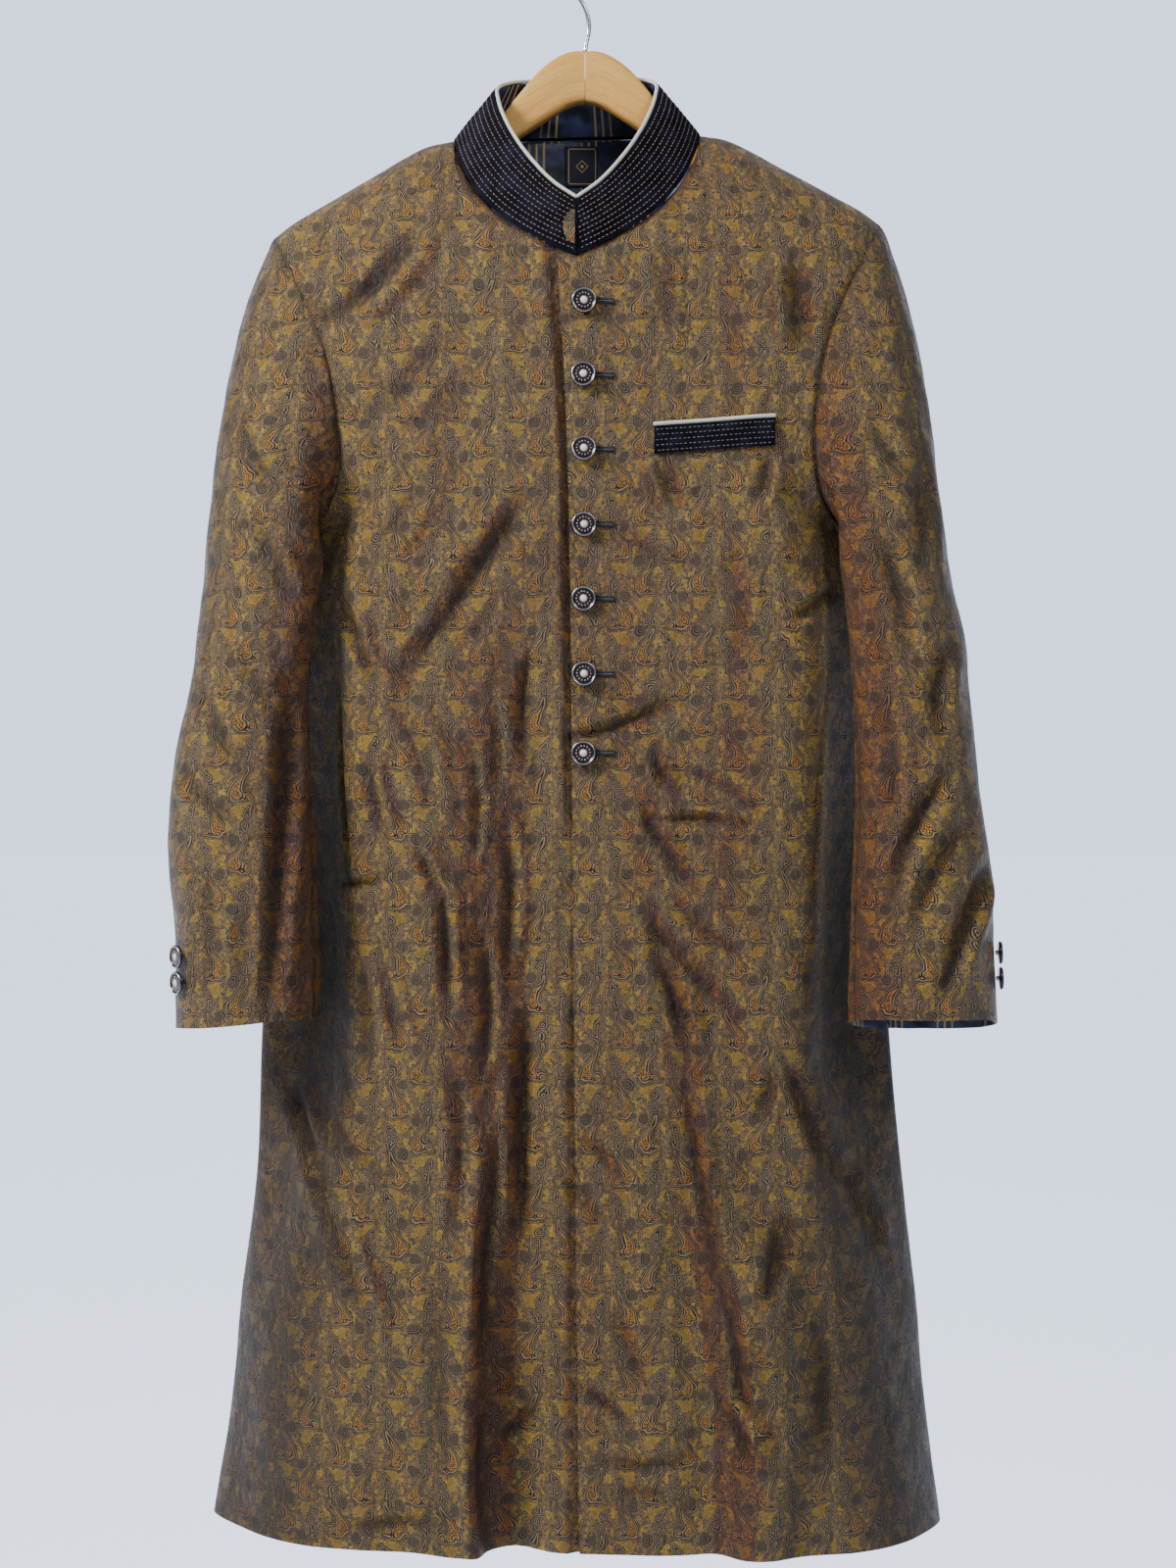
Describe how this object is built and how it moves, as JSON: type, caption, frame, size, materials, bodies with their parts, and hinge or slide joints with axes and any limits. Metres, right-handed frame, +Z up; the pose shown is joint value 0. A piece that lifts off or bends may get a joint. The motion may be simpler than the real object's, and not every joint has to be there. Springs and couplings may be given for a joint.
{
  "type": "sherwani coat on a wooden hanger",
  "caption": "Long stand-collar sherwani coat in paisley brocade, buttoned down the front, hanging flat and open inside on a wooden hanger with a wire hook.",
  "frame": {"origin": "underside of the hanger hook's bend, where a rail or peg carries the hanger", "axes": "+Z up along the hanging coat's length, -Y out of the coat's front, +X towards the wearer's left sleeve"},
  "size_m": [0.6508, 0.1404, 1.2743],
  "materials": {
    "brocade": "woven paisley jacquard in old gold, olive and purple grey, with a soft two-colour sheen",
    "velvet": "blue-black velvet with rows of small running stitches",
    "lining": "dark navy satin lining with thin gold pinstripes in groups of three",
    "piping": "cream satin corded piping",
    "label": null,
    "button": "silvered rim, dark enamel body, pale pearl centre in a ring of small pink-white stones",
    "buttonhole": "blue-black bound buttonhole",
    "wood": "pale clear-coated wood with fine grain",
    "wire": "bright plated steel wire"
  },
  "bodies": {
    "root": {"back": "brocade", "back_lining": "lining", "button_1": "button", "button_2": "button", "button_3": "button", "button_4": "button", "button_5": "button", "button_6": "button", "button_7": "button", "collar": "velvet", "collar_lining": "lining", "collar_piping": "piping", "collar_tab": "brocade", "cuff_button_left_1": "button", "cuff_button_left_2": "button", "cuff_button_right_1": "button", "cuff_button_right_2": "button", "front_left": "brocade", "front_right": "brocade", "hanger_arm_left": "wood", "hanger_arm_right": "wood", "hanger_hook": "wire", "loop_1": "buttonhole", "loop_2": "buttonhole", "loop_3": "buttonhole", "loop_4": "buttonhole", "loop_5": "buttonhole", "loop_6": "buttonhole", "loop_7": "buttonhole", "neck_label": "label", "pocket_piping": "piping", "pocket_welt": "velvet", "sleeve_left_top": "brocade", "sleeve_left_under": "brocade", "sleeve_right_top": "brocade", "sleeve_right_under": "brocade"}
  },
  "joints": []
}
